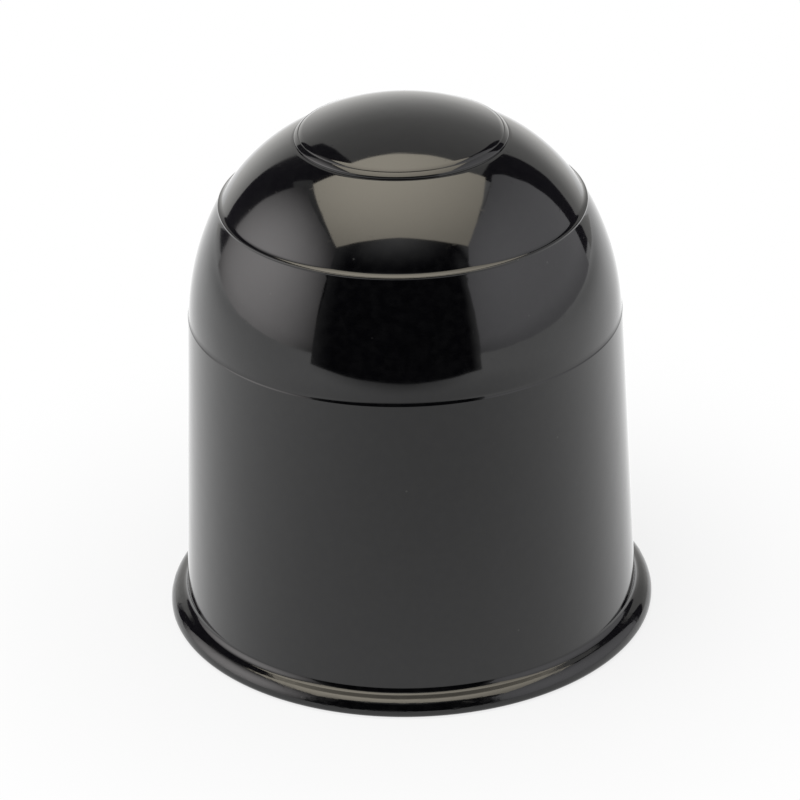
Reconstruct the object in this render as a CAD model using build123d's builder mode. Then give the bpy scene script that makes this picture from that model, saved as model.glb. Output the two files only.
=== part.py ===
from build123d import *
import os
from math import acos, asin, atan2, cos, degrees, radians, sin, tan

# Tow ball cover: one moulded cap that is pushed over a tow ball from above. A drafted skirt stands on
# a flared rim, a stepped dome closes it, and a low disc is raised on the crown. Inside, upright ribs
# centre the cap on the ball. Millimetres, Z up. The axis of the cap is Z and the mouth lies on z = 0.

# The ball and the wall around it
ball_diameter = 50.0
ball_gap = 1.35  # air beside the ball, at the height of the lower line
wall = 2.0

# Skirt, from the mouth up to the lower line
skirt_height = 42.92
skirt_draft = 2.65  # degrees a side, wider at the mouth
mouth_round = 0.7

# Flared rim: its top falls outwards to a full round edge
rim_overhang = 2.16
rim_edge_height = 1.9
rim_slope = 19.0  # degrees
rim_edge_round = 1.8
rim_foot_round = 1.0
rim_base_round = 0.6
rim_foot_share = 0.33  # most of the sloping top that the round at its foot may take
rim_base_share = 0.32  # most of the upright edge that the round at its base may take
rim_flat_share = 0.995  # keeps a little of both faces between their rounds

# Lower line: the skirt stands proud of the dome, and a steep ledge leads in to it
lower_ledge = 0.12
lower_ledge_rise = 0.21
lower_ledge_round = 0.1

# Dome: a slow arc up to the middle ring, then a quicker one that is set in a little, up to the disc
lower_arc = 33.22
upper_arc = 22.6
middle_ledge = 0.2

# Middle ring: a low upright edge on the slow arc, and a hollow ledge that leads in from it
middle_ring_rise = 15.25  # its foot, above the lower line
middle_ring_height = 0.26
middle_ring_round = 0.12
middle_ledge_hollow = 1.0

# Raised disc, with a bevelled edge and a crowned top
disc_foot_radius = 13.75
disc_step = 0.25
disc_foot_hollow = 0.08
disc_edge_round = 0.2
disc_bevel = 0.55
disc_bevel_slope = 43.0  # degrees
crown_arc = 30.2

# Ribs that centre the cap on the ball
rib_count = 6
rib_width = 1.8
rib_clearance = 0.1  # between a rib and the ball
rib_start = 20.0  # height of the lower end
rib_lead_in = 6.0


def polar(center, radius, angle):
    """Point of a circle, with its angle in degrees from the radial direction."""
    return Vector(center.X + radius * cos(radians(angle)), center.Y + radius * sin(radians(angle)))


def opposite_angle(first, second, opposite):
    """Angle in degrees between two sides of a triangle, from its three lengths."""
    return degrees(acos((first**2 + second**2 - opposite**2) / (2 * first * second)))


def fitted_round(radius, turn, room):
    """The radius, or the largest one whose tangents fit the room on an edge that turns by that angle."""
    return min(radius, room / tan(radians(turn / 2)))


# Skirt and rim, as (radius, height) in the section
draft = radians(skirt_draft)
dome_radius = ball_diameter / 2 + ball_gap + wall
mouth_radius = dome_radius + skirt_height * tan(draft)
rim_radius = mouth_radius + rim_overhang
slope = radians(rim_slope)
rim_foot_height = (rim_edge_height + rim_overhang * tan(slope)) / (1 - tan(draft) * tan(slope))
rim_foot = Vector(mouth_radius - rim_foot_height * tan(draft), rim_foot_height)
rim_edge = Vector(rim_radius, rim_edge_height)
rim_base = Vector(rim_radius, 0)
skirt_top = Vector(dome_radius, skirt_height)
inner_mouth = Vector(mouth_radius - wall / cos(draft), 0)

# Lower arc of the dome, tangent to the draft of the skirt
dome_start = skirt_top + (-lower_ledge, lower_ledge_rise)
lower_center = polar(dome_start, -lower_arc, skirt_draft)
ring_angle = degrees(asin((skirt_height + middle_ring_rise - lower_center.Y) / lower_arc))
ring_foot = polar(lower_center, lower_arc, ring_angle)
ring_edge = ring_foot + (0, middle_ring_height)

# Upper arc, set in by the middle ledge, and the hollow that leads from the ring's edge to it
ring_reach = upper_arc + middle_ledge
upper_center = polar(ring_foot, -ring_reach, ring_angle)
edge_way = ring_edge - upper_center
hollow_turn = opposite_angle(upper_arc + middle_ledge_hollow, edge_way.length, middle_ledge_hollow)
upper_angle = degrees(atan2(edge_way.Y, edge_way.X)) + hollow_turn
upper_start = polar(upper_center, upper_arc, upper_angle)
disc_angle = degrees(acos((disc_foot_radius - upper_center.X) / upper_arc))
disc_foot = polar(upper_center, upper_arc, disc_angle)

# Edge of the disc: a hollow, a round and the bevel, then the crown with its center on the axis
edge_sweep = disc_foot_hollow + disc_edge_round
edge_angle = disc_angle - degrees(acos(1 - disc_step / edge_sweep))
foot_center = polar(disc_foot, disc_foot_hollow, disc_angle)
edge_center = polar(foot_center, -edge_sweep, edge_angle)
bevel_angle = 90 - disc_bevel_slope
disc_edge = polar(edge_center, disc_edge_round, bevel_angle)
bevel_top = polar(disc_edge, disc_bevel, bevel_angle + 90)
crown_angle = degrees(acos(bevel_top.X / crown_arc))
crown_center = polar(bevel_top, -crown_arc, crown_angle)

# Inside of the wall, parallel to the main arcs
dome_wall = wall - lower_ledge * cos(draft) + lower_ledge_rise * sin(draft)
inner_lower_arc = lower_arc - dome_wall
inner_upper_arc = ring_reach - dome_wall
inner_disc_foot = polar(upper_center, inner_upper_arc, disc_angle)
inner_crown_radius = inner_disc_foot.X / cos(radians(disc_angle))
inner_crown_center = polar(inner_disc_foot, -inner_crown_radius, disc_angle)

# Ribs: they end where the dome closes in to the ball, and are rooted in the middle of the wall
rib_radius = ball_diameter / 2 + rib_clearance
rib_root_arc = inner_lower_arc + dome_wall / 2
rib_top_angle = degrees(acos((rib_radius - lower_center.X) / inner_lower_arc))
rib_top = polar(lower_center, inner_lower_arc, rib_top_angle)
rib_foot = Vector(inner_mouth.X - rib_start * tan(draft), rib_start)
rib_length = mouth_radius - rib_radius

# Rounds of the rim: two share its sloping top, and two its upright edge
slope_length = rim_overhang / cos(slope)
edge_room = min((1 - rim_foot_share) * slope_length, (1 - rim_base_share) * rim_edge_height)
foot_round = fitted_round(rim_foot_round, 90 - skirt_draft - rim_slope, rim_foot_share * slope_length)
edge_round = fitted_round(rim_edge_round, 90 - rim_slope, edge_room * rim_flat_share)
base_round = fitted_round(rim_base_round, 90, rim_base_share * rim_edge_height)

with BuildPart() as ribs:
    with BuildSketch(Plane.XY):
        with PolarLocations(rib_radius + rib_length / 2, rib_count):
            SlotOverall(rib_length, rib_width)
    extrude(amount=rib_top.Y)
    with BuildSketch(Plane.XZ):
        with BuildLine():
            Line(rib_top, (rib_radius, rib_start + rib_lead_in))
            Line((rib_radius, rib_start + rib_lead_in), rib_foot)
            Line(rib_foot, rib_foot + (wall / 2, 0))
            Line(rib_foot + (wall / 2, 0), polar(lower_center, rib_root_arc, skirt_draft))
            CenterArc(lower_center, rib_root_arc, skirt_draft, rib_top_angle - skirt_draft)
            Line(polar(lower_center, rib_root_arc, rib_top_angle), rib_top)
        make_face()
    revolve(axis=Axis.Z, mode=Mode.INTERSECT)

with BuildPart() as cover:
    with BuildSketch(Plane.XZ) as section:
        with BuildLine():
            # Outside, from the mouth up to the crown
            Polyline(inner_mouth, rim_base, rim_edge, rim_foot, skirt_top, dome_start)
            CenterArc(lower_center, lower_arc, skirt_draft, ring_angle - skirt_draft)
            Line(ring_foot, ring_edge)
            RadiusArc(ring_edge, upper_start, middle_ledge_hollow)
            CenterArc(upper_center, upper_arc, upper_angle, disc_angle - upper_angle)
            CenterArc(foot_center, disc_foot_hollow, disc_angle + 180, edge_angle - disc_angle)
            CenterArc(edge_center, disc_edge_round, edge_angle, bevel_angle - edge_angle)
            Line(disc_edge, bevel_top)
            CenterArc(crown_center, crown_arc, crown_angle, 90 - crown_angle)
            # Inside, back down to the mouth
            Line(polar(crown_center, crown_arc, 90), polar(inner_crown_center, inner_crown_radius, 90))
            CenterArc(inner_crown_center, inner_crown_radius, 90, disc_angle - 90)
            CenterArc(upper_center, inner_upper_arc, disc_angle, ring_angle - disc_angle)
            CenterArc(lower_center, inner_lower_arc, ring_angle, skirt_draft - ring_angle)
            Line(polar(lower_center, inner_lower_arc, skirt_draft), inner_mouth)
        make_face()
        for corner, radius in (
            (inner_mouth, mouth_round),
            (rim_base, base_round),
            (rim_edge, edge_round),
            (rim_foot, foot_round),
            (skirt_top, lower_ledge_round),
            (ring_foot, middle_ring_round),
            (ring_edge, middle_ring_round),
        ):
            fillet(section.vertices().sort_by_distance(corner)[0], radius)
    revolve(axis=Axis.Z)

    add(ribs.part)

cover.part.label = "cover"

os.makedirs("parts", exist_ok=True)
export_step(cover.part, "parts/cover.step")
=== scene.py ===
"""Tow ball cover: one moulded cap of gloss black plastic, on a white floor in a soft studio tent."""
from collections import namedtuple
from contextlib import contextmanager
from math import acos, asin, atan2, cos, degrees, pi, radians, sin, sqrt, tan

import bmesh
import bpy
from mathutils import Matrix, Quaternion, Vector


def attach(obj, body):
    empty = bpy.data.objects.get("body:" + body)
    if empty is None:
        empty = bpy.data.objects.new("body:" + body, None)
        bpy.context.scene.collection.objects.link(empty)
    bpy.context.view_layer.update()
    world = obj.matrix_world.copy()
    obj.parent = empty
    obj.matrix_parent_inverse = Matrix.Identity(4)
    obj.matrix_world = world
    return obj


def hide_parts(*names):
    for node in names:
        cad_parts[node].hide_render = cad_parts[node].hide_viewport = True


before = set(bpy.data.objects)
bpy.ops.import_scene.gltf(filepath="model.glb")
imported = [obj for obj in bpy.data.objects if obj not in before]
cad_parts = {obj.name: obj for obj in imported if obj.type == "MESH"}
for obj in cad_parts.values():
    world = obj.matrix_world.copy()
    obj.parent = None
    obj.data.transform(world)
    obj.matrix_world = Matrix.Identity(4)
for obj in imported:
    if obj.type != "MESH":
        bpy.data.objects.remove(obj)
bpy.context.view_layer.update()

# Sizes of the cap in metres and degrees, as the solid has them
ball_radius = 0.025
ball_gap = 0.00135
wall = 0.002
skirt_height = 0.04292
skirt_draft = 2.65
mouth_round = 0.0007
rim_overhang = 0.00216
rim_edge_height = 0.0019
rim_slope = 19.0
rim_edge_round = 0.0018
rim_foot_round = 0.001
rim_base_round = 0.0006
lower_ledge = 0.00012
lower_ledge_rise = 0.00021
lower_ledge_round = 0.0001
lower_arc = 0.03322
upper_arc = 0.0226
middle_ledge = 0.0002
middle_ring_rise = 0.01525
middle_ring_height = 0.00026
middle_ring_round = 0.00012
middle_ledge_hollow = 0.001
disc_foot_radius = 0.01375
disc_step = 0.00025
disc_foot_hollow = 0.00008
disc_edge_round = 0.0002
disc_bevel = 0.00055
disc_bevel_slope = 43.0
crown_arc = 0.0302
rib_count = 6
rib_width = 0.0018
rib_clearance = 0.0001
rib_start = 0.020
rib_lead_in = 0.006

# A fine line is scribed on the disc, beside the bevel, and a groove round its foot
scribed_inset = 0.00012
scribed_width = 0.00018
scribed_depth = 0.00006
foot_groove_width = 0.00009
foot_groove_depth = 0.00004

# How finely the section is drawn and turned
crown_steps = 24
disc_edge_steps = 6
dome_steps = 32
ledge_steps = 8
inner_dome_steps = 20
inner_crown_steps = 12
rib_root_steps = 12
fine_segments = 3
plain_segments = 6
rim_foot_segments = 8
rim_edge_segments = 12
rib_back_segments = 8
turn_steps = 192
skirt_cuts = 23
crease_angle = 40
inner_lean = 0.3  # how far a face leans inwards or down to be on the inside
weld = 1e-7

# Marks on the plastic: the grey that lies on it, and how the rim is rubbed by handling
dust_shade = (0.10, 0.10, 0.095)
film_share = 0.15  # part of a smear's strength that greys the colour
haze_share = 0.02
rubbed_up_to = 0.0018
clean_from = 0.0032
rubbed_roughness = 0.14
rubbed_depth = 0.006
relief = 0.001  # metres that a height of one stands for

# Studio tent: where its panels stand, and the tints of their light
tent_top = 0.84
tent_side = 0.6
tent_back = 0.41
back_waist = 0.40
back_top = 0.92
card_front = -0.24
card_waist = 0.20
card_top = 0.465
corner_back = 0.5
rail_side = 0.63
far_front = -0.9
plain = (1, 1, 1)
ivory = (1, 0.925, 0.775)
warm = (1, 0.99, 0.965)
rosy = (1.035, 1, 1)
cool = (1.01, 1, 1.035)
violet = (1, 0.92, 1.15)

# Floor, just under the rim: its shadow fades out between two distances from the axis
floor_radius = 2.0
floor_sides = 96
floor_drop = 0.00005
shine_drop = 0.0001
floor_shade = 0.95
shadow_start = 0.033
shadow_end = 0.085
shadow_whiteness = 0.78

# Light and camera, in metres, watts, degrees and, for the lens, millimetres
ambient_level = 0.58
lamp_place = Vector((-0.35, -0.35, 1.4))
lamp_size = 1.3
lamp_power = 9
camera_place = Vector((0, -0.44603, 0.26095))
camera_aim = Vector((-0.00096, 0, 0.02919))
camera_roll = -1.370
focal_length = 171.15
sensor_width = 36

# A soft spot of a panel's light: the axes say how far each direction counts in its reach
Spot = namedtuple("Spot", "place reach amount axes", defaults=[(1, 1, 1)])


def polar(center, radius, angle):
    """Point of a circle in the section, with its angle in degrees from the radial direction."""
    return center + Vector((cos(radians(angle)), sin(radians(angle)))) * radius


def meeting(first, first_reach, second, second_reach):
    """Point at a reach from each of two centers, left of the way from the first to the second."""
    way = second - first
    along = (first_reach**2 - second_reach**2 + way.length_squared) / (2 * way.length)
    aside = sqrt(first_reach**2 - along**2)
    return first + (way * along + Vector((-way.y, way.x)) * aside) / way.length


def heading(step):
    """Direction of a step in the section, in degrees from the radial direction."""
    return degrees(atan2(step.y, step.x))


# Section of the skirt and the rim, as (radius, height)
draft = radians(skirt_draft)
slope = radians(rim_slope)
dome_radius = ball_radius + ball_gap + wall
mouth_radius = dome_radius + skirt_height * tan(draft)
rim_radius = mouth_radius + rim_overhang
rim_foot_height = (rim_edge_height + rim_overhang * tan(slope)) / (1 - tan(draft) * tan(slope))
rim_foot = Vector((mouth_radius - rim_foot_height * tan(draft), rim_foot_height))
rim_edge = Vector((rim_radius, rim_edge_height))
rim_base = Vector((rim_radius, 0))
inner_mouth = Vector((mouth_radius - wall / cos(draft), 0))
skirt_top = Vector((dome_radius, skirt_height))

# Section of the dome: two arcs, with the upright edge of the ring and its hollow ledge between them
dome_start = skirt_top + Vector((-lower_ledge, lower_ledge_rise))
lower_center = polar(dome_start, -lower_arc, skirt_draft)
ring_angle = degrees(asin((skirt_height + middle_ring_rise - lower_center.y) / lower_arc))
ring_foot = polar(lower_center, lower_arc, ring_angle)
ring_edge = ring_foot + Vector((0, middle_ring_height))
ring_reach = upper_arc + middle_ledge
upper_center = polar(ring_foot, -ring_reach, ring_angle)
hollow_center = meeting(upper_center, upper_arc + middle_ledge_hollow, ring_edge, middle_ledge_hollow)
upper_angle = heading(hollow_center - upper_center)
ledge_angle = heading(hollow_center - ring_edge)

# Section of the disc and the crown
disc_angle = degrees(acos((disc_foot_radius - upper_center.x) / upper_arc))
disc_foot = polar(upper_center, upper_arc, disc_angle)
edge_turn = degrees(acos(1 - disc_step / (disc_foot_hollow + disc_edge_round)))
foot_center = polar(disc_foot, disc_foot_hollow, disc_angle)
round_center = polar(foot_center, -disc_foot_hollow - disc_edge_round, disc_angle - edge_turn)
bevel_angle = 90 - disc_bevel_slope
disc_edge = polar(round_center, disc_edge_round, bevel_angle)
bevel_top = polar(disc_edge, disc_bevel, bevel_angle + 90)
crown_angle = degrees(acos(bevel_top.x / crown_arc))
crown_center = polar(bevel_top, -crown_arc, crown_angle)
scribed_angle = crown_angle + degrees(scribed_inset / crown_arc)
scribed_turn = degrees(scribed_width / crown_arc) / 2
groove_angle = disc_angle - degrees(foot_groove_width / upper_arc)

# Section of the inside, parallel to the main arcs
dome_wall = wall - lower_ledge * cos(draft) + lower_ledge_rise * sin(draft)
inner_lower_arc = lower_arc - dome_wall
inner_upper_arc = ring_reach - dome_wall
inner_disc_foot = polar(upper_center, inner_upper_arc, disc_angle)
inner_crown_radius = inner_disc_foot.x / cos(radians(disc_angle))
inner_crown_center = polar(inner_disc_foot, -inner_crown_radius, disc_angle)

# Ribs, rooted in the middle of the wall
rib_radius = ball_radius + rib_clearance
rib_foot = Vector((inner_mouth.x - rib_start * tan(draft), rib_start))
rib_root_arc = inner_lower_arc + dome_wall / 2
rib_top_angle = degrees(acos((rib_radius - lower_center.x) / rib_root_arc))


def only(*objects):
    """Selects these objects alone, with the first one active."""
    bpy.ops.object.select_all(action="DESELECT")
    for obj in objects:
        obj.select_set(True)
    bpy.context.view_layer.objects.active = objects[0]


def finish_with(obj, kind, **settings):
    """Adds a modifier and applies it."""
    only(obj)
    modifier = obj.modifiers.new(kind.lower(), kind)
    for name, value in settings.items():
        setattr(modifier, name, value)
    bpy.ops.object.modifier_apply(modifier=modifier.name)


def start_outline(name, point):
    """A new mesh of one vertex in the XZ plane, open for editing."""
    bpy.ops.object.select_all(action="DESELECT")
    bpy.ops.mesh.primitive_plane_add(size=wall, location=(point.x, 0, point.y))
    obj = bpy.context.object
    obj.name = obj.data.name = name
    bpy.ops.object.transform_apply()
    bpy.ops.object.mode_set(mode="EDIT")
    bpy.ops.mesh.select_all(action="SELECT")
    bpy.ops.mesh.merge(type="CENTER")
    return obj


def line_to(point):
    """Draws the outline on, in a straight line."""
    verts = bmesh.from_edit_mesh(bpy.context.edit_object.data).verts
    tip = next(vert.co for vert in verts if vert.select)
    step = Vector((point.x, 0, point.y)) - tip
    bpy.ops.mesh.extrude_region_move(TRANSFORM_OT_translate={"value": step})


def arc(center, turn, steps):
    """Draws the outline on round a center, by degrees that count from X towards Z."""
    bpy.ops.mesh.spin(steps=steps, angle=radians(turn), center=(center.x, 0, center.y), axis=(0, 1, 0))


def round_corner(point, radius, turn, segments):
    """Rounds the outline's vertex that is nearest to a corner of so many degrees."""
    mesh = bmesh.from_edit_mesh(bpy.context.edit_object.data)
    nearest = min(mesh.verts, key=lambda vert: (vert.co - Vector((point.x, 0, point.y))).length)
    bpy.ops.mesh.select_all(action="DESELECT")
    nearest.select_set(True)
    mesh.select_flush_mode()
    bpy.ops.mesh.bevel(offset=radius * tan(radians(turn / 2)), segments=segments, affect="VERTICES")


def pick(kind, test):
    """Selects the mesh elements of a kind, such as "faces", that pass a test."""
    mesh = bmesh.from_edit_mesh(bpy.context.edit_object.data)
    bpy.ops.mesh.select_all(action="DESELECT")
    for element in getattr(mesh, kind):
        if test(element):
            element.select_set(True)
    mesh.select_flush_mode()
    bmesh.update_edit_mesh(bpy.context.edit_object.data)


def clean_mesh():
    """Merges doubled points and turns every face outwards."""
    bpy.ops.mesh.select_all(action="SELECT")
    bpy.ops.mesh.remove_doubles(threshold=weld)
    bpy.ops.mesh.normals_make_consistent(inside=False)


def faces_inside(face):
    """True on the inner side of the wall, which looks at the axis or down at the mouth."""
    center = face.calc_center_median()
    inward = face.normal.x * center.x + face.normal.y * center.y < -inner_lean * center.xy.length
    downward = face.normal.z < -inner_lean and center.z > rib_start
    return inward or downward


def turned_shell(outside, inside):
    """The wall of the cap, drawn from the crown down the outside and up the inside, and turned about Z."""
    shell = start_outline("cap", polar(crown_center, crown_arc, 90))
    arc(crown_center, scribed_angle + scribed_turn - 90, crown_steps)
    line_to(polar(crown_center, crown_arc - scribed_depth, scribed_angle))
    line_to(polar(crown_center, crown_arc, scribed_angle - scribed_turn))
    line_to(bevel_top)
    line_to(disc_edge)
    arc(round_center, disc_angle - edge_turn - bevel_angle, disc_edge_steps)
    line_to(polar(upper_center, upper_arc - foot_groove_depth, disc_angle))
    line_to(polar(upper_center, upper_arc, groove_angle))
    arc(upper_center, upper_angle - groove_angle, dome_steps)
    arc(hollow_center, ledge_angle - upper_angle, ledge_steps)
    line_to(ring_foot)
    arc(lower_center, skirt_draft - ring_angle, dome_steps)
    for corner in (skirt_top, rim_foot, rim_edge, rim_base, inner_mouth):
        line_to(corner)
    line_to(polar(lower_center, inner_lower_arc, skirt_draft))
    arc(lower_center, ring_angle - skirt_draft, inner_dome_steps)
    arc(upper_center, disc_angle - ring_angle, inner_dome_steps)
    arc(inner_crown_center, 90 - disc_angle, inner_crown_steps)

    ledge_turn = heading(dome_start - skirt_top) - 90 - skirt_draft
    round_corner(ring_edge, middle_ring_round, ledge_angle, plain_segments)
    round_corner(ring_foot, middle_ring_round, ring_angle, fine_segments)
    round_corner(skirt_top, lower_ledge_round, ledge_turn, fine_segments)
    round_corner(rim_foot, rim_foot_round, 90 - skirt_draft - rim_slope, rim_foot_segments)
    round_corner(rim_edge, rim_edge_round, 90 - rim_slope, rim_edge_segments)
    round_corner(rim_base, rim_base_round, 90, plain_segments)
    round_corner(inner_mouth, mouth_round, 90 - skirt_draft, plain_segments)
    pick("edges", lambda edge: edge.calc_length() > skirt_height / 2)
    bpy.ops.mesh.subdivide(number_cuts=skirt_cuts)

    bpy.ops.mesh.select_all(action="SELECT")
    bpy.ops.mesh.spin(steps=turn_steps, angle=2 * pi, center=(0, 0, 0), axis=(0, 0, 1))
    clean_mesh()

    for finish in (outside, inside):
        shell.data.materials.append(finish)
    pick("faces", faces_inside)
    shell.active_material_index = 1
    bpy.ops.object.material_slot_assign()
    bpy.ops.object.mode_set(mode="OBJECT")
    return shell


def centring_ribs(finish):
    """The upright ribs inside, each with a rounded back and a slanted lead-in at its foot."""
    ribs = start_outline("ribs", Vector((rib_radius, rib_start + rib_lead_in)))
    line_to(rib_foot)
    line_to(rib_foot + Vector((wall / 2, 0)))
    line_to(polar(lower_center, rib_root_arc, skirt_draft))
    arc(lower_center, rib_top_angle - skirt_draft, rib_root_steps)
    bpy.ops.mesh.select_all(action="SELECT")
    bpy.ops.mesh.edge_face_add()
    bpy.ops.transform.translate(value=(0, -rib_width / 2, 0))
    bpy.ops.mesh.extrude_region_move(TRANSFORM_OT_translate={"value": (0, rib_width, 0)})
    clean_mesh()
    pick("edges", lambda edge: edge.calc_length() > rib_lead_in and edge.verts[0].co.x < rib_radius + weld)
    bpy.ops.mesh.bevel(offset=rib_width / 2, segments=rib_back_segments)
    clean_mesh()
    copies = rib_count - 1
    bpy.ops.mesh.spin(
        steps=copies, angle=2 * pi * copies / rib_count, dupli=True, center=(0, 0, 0), axis=(0, 0, 1)
    )
    bpy.ops.object.mode_set(mode="OBJECT")
    ribs.data.materials.append(finish)
    return ribs


def moulded_cap(outside, inside):
    """The whole cap: shell and ribs in one mesh."""
    cap = turned_shell(outside, inside)
    ribs = centring_ribs(inside)
    finish_with(cap, "BOOLEAN", operation="UNION", object=ribs, solver="EXACT", material_mode="TRANSFER")
    only(ribs)
    bpy.ops.object.delete()
    only(cap)
    bpy.ops.object.shade_smooth_by_angle(angle=radians(crease_angle))
    finish_with(cap, "WEIGHTED_NORMAL", keep_sharp=True)
    return cap


def wire(tree, *pairs):
    """Links sockets of a node tree, each pair from an output to an input."""
    for source, target in pairs:
        tree.links.new(source, target)


def node(tree, kind, **settings):
    """A new node of a kind, with its settings."""
    made = tree.nodes.new(kind)
    for name, value in settings.items():
        setattr(made, name, value)
    return made


def socket(sockets, identifier):
    """The socket with an identifier, for a node whose sockets share their names."""
    return next(found for found in sockets if found.identifier == identifier)


def ranged(tree, value, low, high, start=0, end=1):
    """Maps a value from one range to another, smoothly and clamped."""
    made = node(tree, "ShaderNodeMapRange", interpolation_type="SMOOTHSTEP")
    for name, number in zip(("From Min", "From Max", "To Min", "To Max"), (low, high, start, end)):
        made.inputs[name].default_value = number
    wire(tree, (value, made.inputs["Value"]))
    return made.outputs["Result"]


def noise(tree, place, scale, detail, stretch=(1, 1, 1), turn=(0, 0, 0)):
    """Soft noise whose grain can be stretched and turned. Scale is in features per metre."""
    mapping = node(tree, "ShaderNodeMapping")
    mapping.inputs["Scale"].default_value = stretch
    mapping.inputs["Rotation"].default_value = [radians(angle) for angle in turn]
    made = node(tree, "ShaderNodeTexNoise")
    made.inputs["Scale"].default_value = scale
    made.inputs["Detail"].default_value = detail
    wire(tree, (place, mapping.inputs["Vector"]), (mapping.outputs["Vector"], made.inputs["Vector"]))
    return made.outputs["Fac"]


def maths(tree, operation, first, second):
    """What a math operation makes of two values, each a socket or a number."""
    made = node(tree, "ShaderNodeMath", operation=operation)
    for target, value in zip(made.inputs, (first, second)):
        if isinstance(value, (int, float)):
            target.default_value = value
        else:
            wire(tree, (value, target))
    return made.outputs["Value"]


def scaled(tree, value, amount):
    """A value times an amount."""
    return maths(tree, "MULTIPLY", value, amount)


def summed(tree, total, *others):
    """Sum of values."""
    for other in others:
        total = maths(tree, "ADD", total, other)
    return total


def handled_surface():
    """Node group of what handling and moulding leave on the plastic."""
    group = bpy.data.node_groups.new("handled_surface", "ShaderNodeTree")
    group.interface.new_socket("Place", in_out="INPUT", socket_type="NodeSocketVector")
    place = node(group, "NodeGroupInput").outputs["Place"]

    smudged = noise(group, place, scale=70, detail=5, stretch=(1, 1, 0.6))
    clouded = noise(group, place, scale=900, detail=4)

    # Two sets of fine scratches, slanted apart
    along = noise(group, place, scale=90, detail=2, stretch=(1, 18, 18), turn=(0, 0, 35))
    across = noise(group, place, scale=110, detail=2, stretch=(20, 1.2, 16), turn=(24, 0, -20))
    scratches = [ranged(group, lines, low=0.7, high=0.76) for lines in (along, across)]

    # Specks in the middle of some of the cells
    cells = node(group, "ShaderNodeTexVoronoi")
    cells.inputs["Scale"].default_value = 420
    wire(group, (place, cells.inputs["Vector"]))
    speck = ranged(group, cells.outputs["Distance"], low=0.03, high=0.08, start=1, end=0)
    kept = maths(group, "GREATER_THAN", cells.outputs["Color"], 0.78)

    # Rubbed patches, on the rim alone
    apart = node(group, "ShaderNodeSeparateXYZ")
    wire(group, (place, apart.inputs["Vector"]))
    rim = ranged(group, apart.outputs["Z"], low=rubbed_up_to, high=clean_from, start=1, end=0)
    patches = noise(group, place, scale=380, detail=5, stretch=(1, 1, 4))

    marks = {
        "Smears": ranged(group, smudged, low=0.5, high=0.72),
        "Haze": ranged(group, clouded, low=0.35, high=0.75),
        "Hairlines": maths(group, "MAXIMUM", *scratches),
        "Dust": scaled(group, speck, kept),
        "Wear": scaled(group, rim, ranged(group, patches, low=0.46, high=0.66)),
        "Ripple": noise(group, place, scale=240, detail=1),
    }
    for name in marks:
        group.interface.new_socket(name, in_out="OUTPUT", socket_type="NodeSocketFloat")
    result = node(group, "NodeGroupOutput")
    for name, mark in marks.items():
        wire(group, (mark, result.inputs[name]))
    return group


def black_plastic(name, surface, shade, polish, smeared, scuffed, dusty, ripple, grain):
    """Black plastic. Polish is its roughness when clean, and the rest says how much each mark shows."""
    material = bpy.data.materials.new(name)
    material.use_nodes = True
    tree = material.node_tree
    shader = tree.nodes["Principled BSDF"]
    place = node(tree, "ShaderNodeTexCoord").outputs["Object"]
    marks = node(tree, "ShaderNodeGroup", node_tree=surface)
    wire(tree, (place, marks.inputs["Place"]))

    specks = scaled(tree, marks.outputs["Dust"], dusty)
    film = scaled(tree, marks.outputs["Smears"], smeared * film_share)
    veil = scaled(tree, marks.outputs["Haze"], haze_share)
    colour = node(tree, "ShaderNodeMix", data_type="RGBA")
    socket(colour.inputs, "A_Color").default_value = (*shade, 1)
    socket(colour.inputs, "B_Color").default_value = (*dust_shade, 1)
    wire(
        tree,
        (summed(tree, specks, film, veil), socket(colour.inputs, "Factor_Float")),
        (socket(colour.outputs, "Result_Color"), shader.inputs["Base Color"]),
    )

    smears = scaled(tree, marks.outputs["Smears"], smeared)
    scuffs = scaled(tree, marks.outputs["Hairlines"], scuffed)
    worn = scaled(tree, marks.outputs["Wear"], rubbed_roughness)
    wire(tree, (summed(tree, smears, scuffs, worn, polish), shader.inputs["Roughness"]))

    moulded = scaled(tree, marks.outputs["Ripple"], ripple)
    dents = scaled(tree, marks.outputs["Wear"], rubbed_depth)
    texture = scaled(tree, noise(tree, place, scale=2600, detail=2), grain)
    height = summed(tree, maths(tree, "SUBTRACT", moulded, dents), texture)
    bump = node(tree, "ShaderNodeBump")
    bump.inputs["Strength"].default_value = 1
    bump.inputs["Distance"].default_value = relief
    wire(tree, (height, bump.inputs["Height"]), (bump.outputs["Normal"], shader.inputs["Normal"]))
    return material


def glow(name, tint, level, *spots):
    """Light of a studio panel: an even level, and soft spots that add to it or take from it."""
    material = bpy.data.materials.new(name)
    material.use_nodes = True
    tree = material.node_tree
    tree.nodes.clear()
    emission = node(tree, "ShaderNodeEmission")
    emission.inputs["Color"].default_value = (*tint, 1)
    emission.inputs["Strength"].default_value = level
    position = node(tree, "ShaderNodeTexCoord").outputs["Object"]
    strength = level
    for spot in spots:
        offset = node(tree, "ShaderNodeVectorMath", operation="SUBTRACT")
        offset.inputs[1].default_value = spot.place
        counted = node(tree, "ShaderNodeVectorMath", operation="MULTIPLY")
        counted.inputs[1].default_value = spot.axes
        length = node(tree, "ShaderNodeVectorMath", operation="LENGTH")
        wire(
            tree,
            (position, offset.inputs[0]),
            (offset.outputs["Vector"], counted.inputs[0]),
            (counted.outputs["Vector"], length.inputs[0]),
        )
        faded = ranged(tree, length.outputs["Value"], low=0, high=spot.reach, start=spot.amount, end=0)
        strength = summed(tree, faded, strength)
    if spots:
        wire(tree, (strength, emission.inputs["Strength"]))
    wire(tree, (emission.outputs["Emission"], node(tree, "ShaderNodeOutputMaterial").inputs["Surface"]))
    return material


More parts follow.
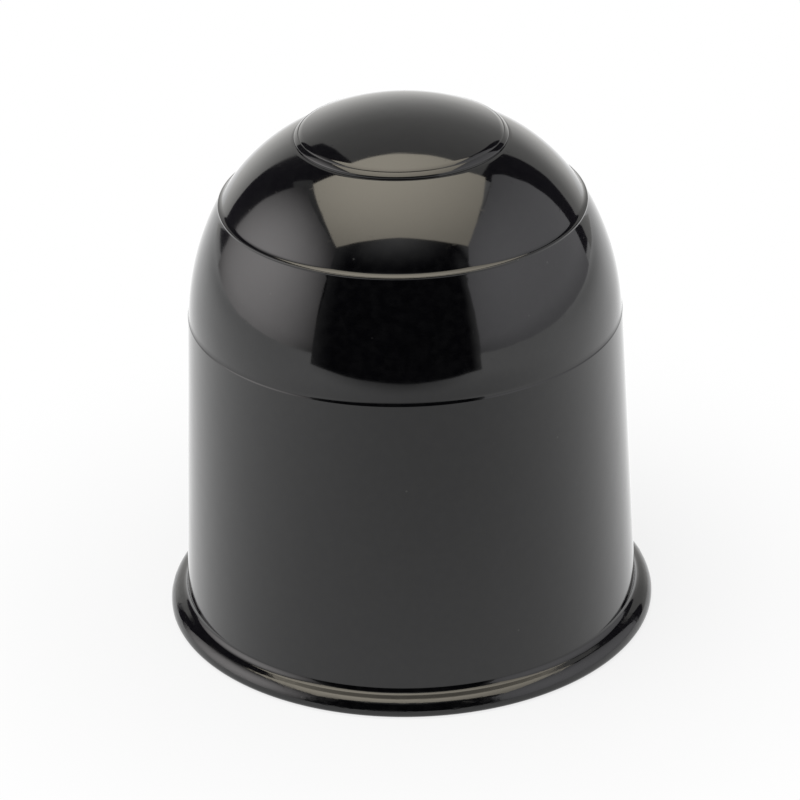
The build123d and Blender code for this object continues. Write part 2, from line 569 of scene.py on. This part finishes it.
def panel(name, low, high, material):
    """A flat panel of the tent between two opposite corners, which only reflections see."""
    low, high = Vector(low), Vector(high)
    size = high - low
    turn, width, height = (0, 0, 0), size.x, size.y
    if size.x == 0:
        turn, width, height = (0, pi / 2, 0), size.z, size.y
    if size.y == 0:
        turn, width, height = (pi / 2, 0, 0), size.x, size.z
    bpy.ops.object.select_all(action="DESELECT")
    bpy.ops.mesh.primitive_plane_add(size=1, location=(low + high) / 2, rotation=turn)
    made = bpy.context.object
    made.name = made.data.name = name
    made.scale = (width, height, 1)
    bpy.ops.object.transform_apply()
    made.data.materials.append(material)
    made.visible_camera = made.visible_diffuse = made.visible_transmission = made.visible_shadow = False
    return made


@contextmanager
def editing(obj):
    """Opens an object for edit-mode operators, and closes it again."""
    only(obj)
    bpy.ops.object.mode_set(mode="EDIT")
    yield
    bpy.ops.object.mode_set(mode="OBJECT")


def top_panel():
    """Ivory panel overhead, narrower at the back, with its right front corner drawn out."""
    light = glow("top_light", ivory, 2.6, Spot((-0.12, 0.08, tent_top), reach=0.9, amount=2.4))
    made = panel("top_panel", (-0.61, -0.45, tent_top), (0.555, 0.374, tent_top), light)
    with editing(made):
        pick("verts", lambda vert: vert.co.y > 0)
        bpy.ops.transform.resize(value=(0.902, 1, 1), center_override=(-0.059, 0.374, tent_top))
        pick("verts", lambda vert: vert.co.y < 0 < vert.co.x)
        bpy.ops.transform.translate(value=(0.04, -0.042, 0))


def side_panels():
    """A bright panel on the left and a dimmer, longer one on the right, both dimmer along the floor."""
    upright = (0, 0, 1)
    left_light = glow(
        "left_light",
        rosy,
        0.3,
        Spot((-tent_side, -0.05, 0.28), reach=0.68, amount=2.85),
        Spot((0, 0, 0), reach=0.07, amount=-0.2, axes=upright),
    )
    panel("left_panel", (-tent_side, -0.54, 0), (-tent_side, 0.397, 0.80), left_light)

    right_light = glow(
        "right_light",
        cool,
        0.75,
        Spot((tent_side, -0.3, 0.38), reach=1.0, amount=0.8),
        Spot((0, 0, 0), reach=0.1, amount=-0.3, axes=upright),
    )
    right_panel = panel("right_panel", (tent_side, -0.826, 0), (tent_side, 0.53, 0.9), right_light)
    with editing(right_panel):
        pick("verts", lambda vert: vert.co.z < tent_top / 2)
        bpy.ops.transform.resize(value=(1, 0.86, 1), center_override=(tent_side, -0.826, 0))


def back_panel():
    """Warm panel at the back, narrow at its waist."""
    light = glow(
        "back_light",
        warm,
        0.65,
        Spot((-0.05, tent_back, 0.05), reach=0.35, amount=0.5),
        Spot((-0.27, tent_back, 0.08), reach=0.3, amount=0.42),
        Spot((0.2, tent_back, 0.03), reach=0.22, amount=0.5),
    )
    made = panel("back_panel", (-0.42, tent_back, 0), (0.56, tent_back, back_waist), light)
    with editing(made):
        pick("verts", lambda vert: vert.co.z > back_waist / 2)
        bpy.ops.transform.resize(value=(0.488, 1, 1), center_override=(-0.033, tent_back, back_waist))
        bpy.ops.mesh.extrude_region_move(TRANSFORM_OT_translate={"value": (0, 0, back_top - back_waist)})
        bpy.ops.transform.resize(value=(1.674, 1, 1), center_override=(-0.106, tent_back, back_top))


def floor_shine():
    """The floor as the gloss sees it, dimmer in front of the cap and in the far corners."""
    light = glow(
        "floor_light",
        plain,
        1.33,
        Spot((0.02, -0.12, 0), reach=0.2, amount=-0.45),
        Spot((-0.04, -0.25, 0), reach=0.1, amount=-0.75, axes=(0.4, 1, 1)),
        Spot((-0.38, 0.22, 0), reach=0.27, amount=-0.3),
        Spot((0.38, 0.22, 0), reach=0.3, amount=-0.42),
    )
    panel("floor_shine", (-tent_side, -0.83, -shine_drop), (tent_side, tent_back, -shine_drop), light)


def front_card():
    """Dark card towards the camera, with a low arch at its top and soft light along its edges."""
    light = glow(
        "front_light",
        plain,
        0,
        Spot((-0.03, card_front, 0.47), reach=0.24, amount=0.72),
        Spot((-0.29, card_front, 0), reach=0.11, amount=0.25, axes=(1, 0, 0)),
        Spot((0.195, card_front, 0.08), reach=0.05, amount=0.62, axes=(1, 0, 0.15)),
        Spot((0.268, card_front, 0.37), reach=0.064, amount=0.62, axes=(1, 0, 0.2)),
    )
    above = 0.3
    beside = 0.1
    made = panel("front_card", (-0.266, card_front, 0), (0.18, card_front, card_waist), light)
    with editing(made):
        pick("verts", lambda vert: vert.co.z > card_waist / 2)
        bpy.ops.transform.resize(value=(0.95, 1, 1), center_override=(0.18, card_front, card_waist))
        bpy.ops.mesh.extrude_region_move(TRANSFORM_OT_translate={"value": (0, 0, card_top - card_waist)})
        bpy.ops.transform.resize(value=(1.38, 1, 1), center_override=(-0.06, card_front, card_top))
        bpy.ops.mesh.subdivide(number_cuts=1)
        # The right end of the top edge comes down, and its middle goes up
        pick("verts", lambda vert: vert.co.z > above and vert.co.x > beside)
        bpy.ops.transform.translate(value=(0.014, 0, -0.04))
        pick("verts", lambda vert: vert.co.z > above and abs(vert.co.x) < beside)
        bpy.ops.transform.translate(value=(0, 0, 0.009))


def dark_surround():
    """Cards and rails that close the gaps of the tent, dark or nearly so."""
    dark = glow("dark_card", plain, 0)
    dim = glow("dim_card", violet, 0.05)
    faint = glow("rail_light", plain, 0.35)
    panel("far_card", (-1.5, far_front, -0.6), (1.5, far_front, 1.8), dark)
    panel("left_corner", (-1.0, corner_back, 0.02), (-0.2, corner_back, 1.2), dim)
    panel("right_corner", (0.2, corner_back, 0.02), (1.0, corner_back, 1.2), dim)
    panel("left_rail", (-rail_side, -0.6, 0.7), (-rail_side, corner_back, 0.95), faint)
    panel("right_rail", (rail_side, far_front, 0.7), (rail_side, corner_back, 0.95), dark)


def studio_tent():
    """Soft panels round the cap, with a dark opening towards the camera, as the gloss shows them."""
    top_panel()
    side_panels()
    back_panel()
    floor_shine()
    front_card()
    dark_surround()


def white_floor():
    """Pale floor that keeps a soft shadow near the cap and runs out to white."""
    bpy.ops.object.select_all(action="DESELECT")
    bpy.ops.mesh.primitive_circle_add(
        vertices=floor_sides, radius=floor_radius, fill_type="NGON", location=(0, 0, -floor_drop)
    )
    floor = bpy.context.object
    floor.name = floor.data.name = "floor"
    bpy.ops.object.transform_apply()
    material = bpy.data.materials.new("floor_white")
    material.use_nodes = True
    tree = material.node_tree
    tree.nodes.clear()
    lit = node(tree, "ShaderNodeBsdfDiffuse")
    lit.inputs["Color"].default_value = (floor_shade, floor_shade, floor_shade, 1)
    white = node(tree, "ShaderNodeEmission")
    shadowed = node(tree, "ShaderNodeMixShader")
    sided = node(tree, "ShaderNodeMixShader")
    length = node(tree, "ShaderNodeVectorMath", operation="LENGTH")
    whiteness = ranged(
        tree, length.outputs["Value"], low=shadow_start, high=shadow_end, start=shadow_whiteness, end=1
    )
    wire(
        tree,
        (node(tree, "ShaderNodeTexCoord").outputs["Object"], length.inputs[0]),
        (whiteness, shadowed.inputs["Fac"]),
        (lit.outputs["BSDF"], shadowed.inputs[1]),
        (white.outputs["Emission"], shadowed.inputs[2]),
        (node(tree, "ShaderNodeNewGeometry").outputs["Backfacing"], sided.inputs["Fac"]),
        (shadowed.outputs["Shader"], sided.inputs[1]),
        (node(tree, "ShaderNodeBsdfTransparent").outputs["BSDF"], sided.inputs[2]),
        (sided.outputs["Shader"], node(tree, "ShaderNodeOutputMaterial").inputs["Surface"]),
    )
    floor.data.materials.append(material)
    floor.visible_glossy = False


def soft_light():
    """White surroundings, a plain ambient level and one large lamp overhead."""
    world = bpy.data.worlds.new("studio")
    bpy.context.scene.world = world
    world.use_nodes = True
    tree = world.node_tree
    tree.nodes.clear()
    ambient = node(tree, "ShaderNodeBackground")
    ambient.inputs["Strength"].default_value = ambient_level
    white = node(tree, "ShaderNodeBackground")
    for background in (ambient, white):
        background.inputs["Color"].default_value = (1, 1, 1, 1)
    path = node(tree, "ShaderNodeLightPath").outputs
    seen = summed(tree, path["Is Camera Ray"], path["Is Glossy Ray"], path["Is Transmission Ray"])
    choice = node(tree, "ShaderNodeMixShader")
    wire(
        tree,
        (seen, choice.inputs["Fac"]),
        (ambient.outputs["Background"], choice.inputs[1]),
        (white.outputs["Background"], choice.inputs[2]),
        (choice.outputs["Shader"], node(tree, "ShaderNodeOutputWorld").inputs["Surface"]),
    )

    bpy.ops.object.light_add(type="AREA", location=lamp_place)
    lamp = bpy.context.object
    lamp.name = "soft_lamp"
    lamp.rotation_euler = lamp_place.to_track_quat("Z", "Y").to_euler()
    lamp.data.size = lamp_size
    lamp.data.energy = lamp_power
    lamp.visible_glossy = False


def photo_camera():
    """Camera at the photograph's angle."""
    bpy.ops.object.camera_add(location=camera_place)
    camera = bpy.context.object
    camera.rotation_mode = "QUATERNION"
    level = (camera_aim - camera_place).to_track_quat("-Z", "Y")
    camera.rotation_quaternion = level @ Quaternion((0, 0, 1), radians(camera_roll))
    camera.data.lens = focal_length
    camera.data.sensor_width = sensor_width
    bpy.context.scene.camera = camera


surface = handled_surface()
gloss = black_plastic(
    "gloss_outside",
    surface,
    shade=(0.0016, 0.0016, 0.0021),
    polish=0.06,
    smeared=0.06,
    scuffed=0.10,
    dusty=0.25,
    ripple=0.018,
    grain=0.0,
)
# The inside's base tone is lighter than the outside's. Part of that is the greyer look of unpolished
# moulded plastic, and part is painted light, so that the ribs show in the shaded inside.
satin_with_painted_light = black_plastic(
    "satin_inside_painted_light",
    surface,
    shade=(0.010, 0.010, 0.0105),
    polish=0.30,
    smeared=0.08,
    scuffed=0.08,
    dusty=0.25,
    ripple=0.008,
    grain=0.012,
)
cap = moulded_cap(gloss, satin_with_painted_light)
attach(cap, "root")
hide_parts("cover")

white_floor()
studio_tent()
soft_light()
photo_camera()
bpy.context.scene.view_settings.view_transform = "Standard"
